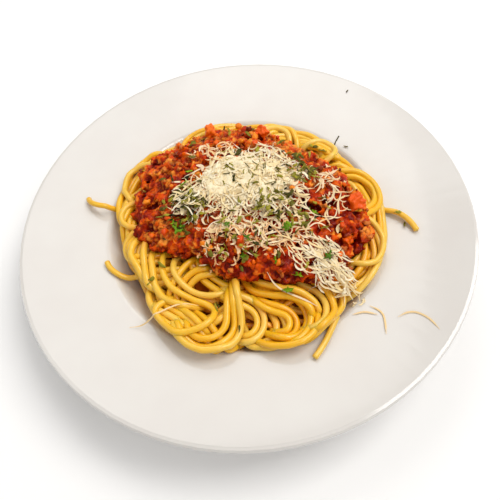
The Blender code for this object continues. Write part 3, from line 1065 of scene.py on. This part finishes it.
def scatter_sticks(rng, places, relief, surface):
    """Thin bent stalks, and the slivers on the rim."""
    heap = Heap()
    for x, y in places:
        length = rng.uniform(*STICK_LENGTHS)
        heading = rng.uniform(0, 360)
        turns = heading + np.linspace(-0.5, 0.5, 7) * math.degrees(rng.normal(0, 0.5))
        path = np.cumsum(on_ray(turns, length / 6), axis=0)
        radius = STICK_RADIUS * rng.uniform(0.7, 1.2)
        lay_stick(heap, relief, path + (x, y) - path.mean(axis=0), radius, rng.uniform(0, 0.9))
    for points in SLIVERS:
        lay_stick(heap, relief, route(points), STICK_RADIUS * 1.3, 0.0)
    heap.finish("herb_sticks", surface, "meat_sauce")


def lay_stick(heap, relief, path, radius, tone):
    """A thin stiff stalk that follows the ground only loosely."""
    z = draped(relief.rest(path, radius), rounds=10, sag=0.01)
    z = np.linspace(z[0], z[-1], len(z)) * 0.5 + z * 0.5 + 0.15
    points, faces = tube(np.column_stack([path, z]), radius, 6)
    heap.add(points, faces, tone=tone)


# ---- Studio


RIM_HEIGHT = 38
ELEVATION = 58.3
ROLL = -6.9
CAMERA_PLACE = (3.3, -19.1, 300)  # to the right, up and away from the rim's middle, as the camera sees it
LENS = 39.1

DAYLIGHT = (1.0, 0.985, 0.97)
# Soft square lights that face the dish: place and size in metres, power in watts, and colour
LIGHTS = {
    "key": ((1.05, 0.25, 1.9), 1.1, 24.5, (1.0, 0.975, 0.945)),
    "window": ((-0.24, 1.33, 1.73), 1.0, 5.8, DAYLIGHT),
    "glow": ((0.12, 0.43, 0.40), 0.3, 0.28, DAYLIGHT),
    "left": ((-0.50, 0.02, 0.50), 0.35, 0.38, DAYLIGHT),
    "front": ((0.90, -1.10, 1.60), 1.2, 8.0, DAYLIGHT),
}
FLOOR_HALF = 4


def add_camera():
    """Looks down at the dish from the front, rolled a little."""
    data = bpy.data.cameras.new("camera")
    data.lens = LENS
    data.clip_start = 0.01
    lean = Matrix.Rotation(math.radians(90 - ELEVATION), 4, "X")
    roll = Matrix.Rotation(math.radians(ROLL), 4, "Z")
    rim_middle = Matrix.Translation((0, 0, RIM_HEIGHT * MM))
    camera = placed("camera", data)
    camera.matrix_world = rim_middle @ lean @ roll @ Matrix.Translation(Vector(CAMERA_PLACE) * MM)
    bpy.context.scene.camera = camera


def add_lights():
    for name, (place, size, power, colour) in LIGHTS.items():
        data = bpy.data.lights.new(name, "AREA")
        data.size = size
        data.energy = power
        data.color = colour
        light = placed(name, data)
        light.location = place
        light.rotation_euler = (-Vector(place)).to_track_quat("-Z", "Y").to_euler()


def add_world():
    world = bpy.data.worlds.new("studio")
    world.use_nodes = True
    background = world.node_tree.nodes["Background"]
    background.inputs["Color"].default_value = (1.0, 0.985, 0.965, 1.0)
    background.inputs["Strength"].default_value = 0.42
    bpy.context.scene.world = world
    bpy.context.scene.view_settings.view_transform = "Standard"


def add_floor():
    made = Surface("pale_floor", 0.8, 0.1)
    made.colour(made.ramp(made.noise(300, 1), (0, 250, 250, 250), (1, 252, 252, 252)))
    mesh = bpy.data.meshes.new("floor")
    corners = [(x * FLOOR_HALF, y * FLOOR_HALF, 0) for x, y in ((-1, -1), (1, -1), (1, 1), (-1, 1))]
    mesh.from_pydata(corners, [], [(0, 1, 2, 3)])
    mesh.materials.append(made.material)
    floor = placed("floor", mesh)


# ---- The dish


def glaze_plate():
    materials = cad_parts["plate"].data.materials
    materials.clear()
    materials.append(china_surface())


def build_core(relief, ceiling, outer_edge):
    """The nest's hidden middle, seen only as the depth between strands, and coloured a darker orange as
    painted shade for those gaps.
    """
    angles, radii = polar(*np.meshgrid(relief.axis, relief.axis, indexing="ij"))
    heights = np.where(radii < outer_edge(angles) - CORE_INSET, ceiling.heights - CORE_DEPTH, ABSENT)
    china, coarse = relief.heights[::4, ::4], heights[::4, ::4]
    heap = Heap()
    heap.add(*slab(relief.axis[::4], np.where(coarse > china + 1, coarse, np.nan), china - 0.5), tone=0.3)
    # painted shade: a darker orange than the strands, standing for the shadowed gaps between them
    surface = crumb_surface("core_painted_shade", (0.2, 176, 84, 8), (0.9, 214, 132, 22), grain=3.0)
    heap.finish("spaghetti_core", surface, "spaghetti")
    relief.heights = np.maximum(relief.heights, heights)


def build_spaghetti(relief, ceiling, sauce_edge, outer_edge):
    """The filling, the loose ends, the coils along the outline, and last the strands at the front."""
    surface = pasta_surface()
    nest = Nest(relief, ceiling, sauce_edge, outer_edge)
    nest.fill()
    for number, (name, shape) in enumerate(LOOSE_STRANDS.items()):
        loose_strand(name, *shape, relief, outer_edge, surface, tone=0.35 + 0.1 * number)
    for coils, room in ((SIDE_COILS, COIL_ROOM), (SIDE_LOOPS, LOOP_ROOM)):
        for path in side_paths(coils, outer_edge, nest.rng):
            nest.lay(path, SIDE_THICKNESS, room)
    for path in chain(map(route, LOW_ROUTES), coil_paths(FRONT_COILS, nest.rng), map(route, FRONT_ROUTES)):
        nest.lay(path, FRONT_THICKNESS)
    pasta_piece = nest.heap.finish("spaghetti_strands", surface, "spaghetti")
    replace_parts(pasta_piece, "spaghetti_nest")


def build_bits(rng, edge, relief, vegetable):
    """Crumbs and small dice that lie loose on the sauce."""
    mince = crumb_surface("mince_bits", (0.0, 96, 26, 8), (0.5, 176, 74, 22), (1.0, 222, 124, 48))
    scatter_bits("mince_crumbs", rng, scattered(rng, 160, edge), (0.6, 1.5), relief, mince, "meat_sauce")
    dice = scattered(rng, 60, edge)
    scatter_bits("vegetable_dice", rng, dice, (0.9, 1.7), relief, vegetable, "diced_vegetable", square=True)


def build_herbs(rng, edge, relief):
    """Chopped parsley, then dried leaves and stalks, in clusters and strewn over the sauce."""
    parsley = leaf_surface("parsley", (70, 108, 0), (142, 184, 24))
    scatter_leaves("parsley_leaves", rng, PARSLEY, (5.0, 8.5), (0.5, 0.9), relief, parsley, lobes=5)
    dried = leaf_surface("dried_herbs", (34, 34, 4), (168, 158, 46))
    clusters = [rng.normal(middle, spread, (count, 2)) for middle, spread, count in HERB_CLUSTERS]
    places = np.concatenate(clusters + [scattered(rng, 60, edge, 4), STRAY_LEAVES])
    scatter_leaves("dried_leaves", rng, places, (2.4, 6.0), (0.22, 0.55), relief, dried)
    needle = leaf_surface("herb_needles", (72, 64, 6), (150, 138, 44))
    sticks = np.concatenate([rng.normal((6, 11), (10, 9), (24, 2)), clusters[0][:14], clusters[2][:10]])
    scatter_sticks(rng, sticks, relief, needle)


def main():
    add_camera()
    add_lights()
    add_world()
    add_floor()
    glaze_plate()
    relief = relief_of("plate", missing=0.0)
    ceiling = relief_of("spaghetti_nest")
    ceiling.heights = np.maximum(ceiling.heights, relief.heights + LEAST_DEPTH)
    nest_edge, sauce_edge = reach_of("spaghetti_nest"), reach_of("meat_sauce")
    build_core(relief, ceiling, nest_edge)
    build_spaghetti(relief, ceiling, sauce_edge, nest_edge)
    build_sauce(relief_of("meat_sauce"), sauce_edge, relief)

    rng = np.random.default_rng(5)
    vegetable = crumb_surface("vegetable_bits", (0.0, 206, 52, 2), (0.5, 238, 92, 2), (1.0, 248, 140, 24))
    build_bits(rng, sauce_edge, relief, vegetable)
    cheese = cheese_surface()
    build_cheese(relief_of("grated_cheese"), relief, cheese)
    build_drift(relief, cheese)
    build_herbs(rng, sauce_edge, relief)
    lay_shreds("late_cheese_shreds", 41, LATE_ZONES, relief, cheese)
    for name, tone in (("carrot_dice_left", 0.5), ("carrot_dice_back", 0.35), ("tomato_piece", 0.3)):
        build_dice(name, rng, vegetable, tone)


main()
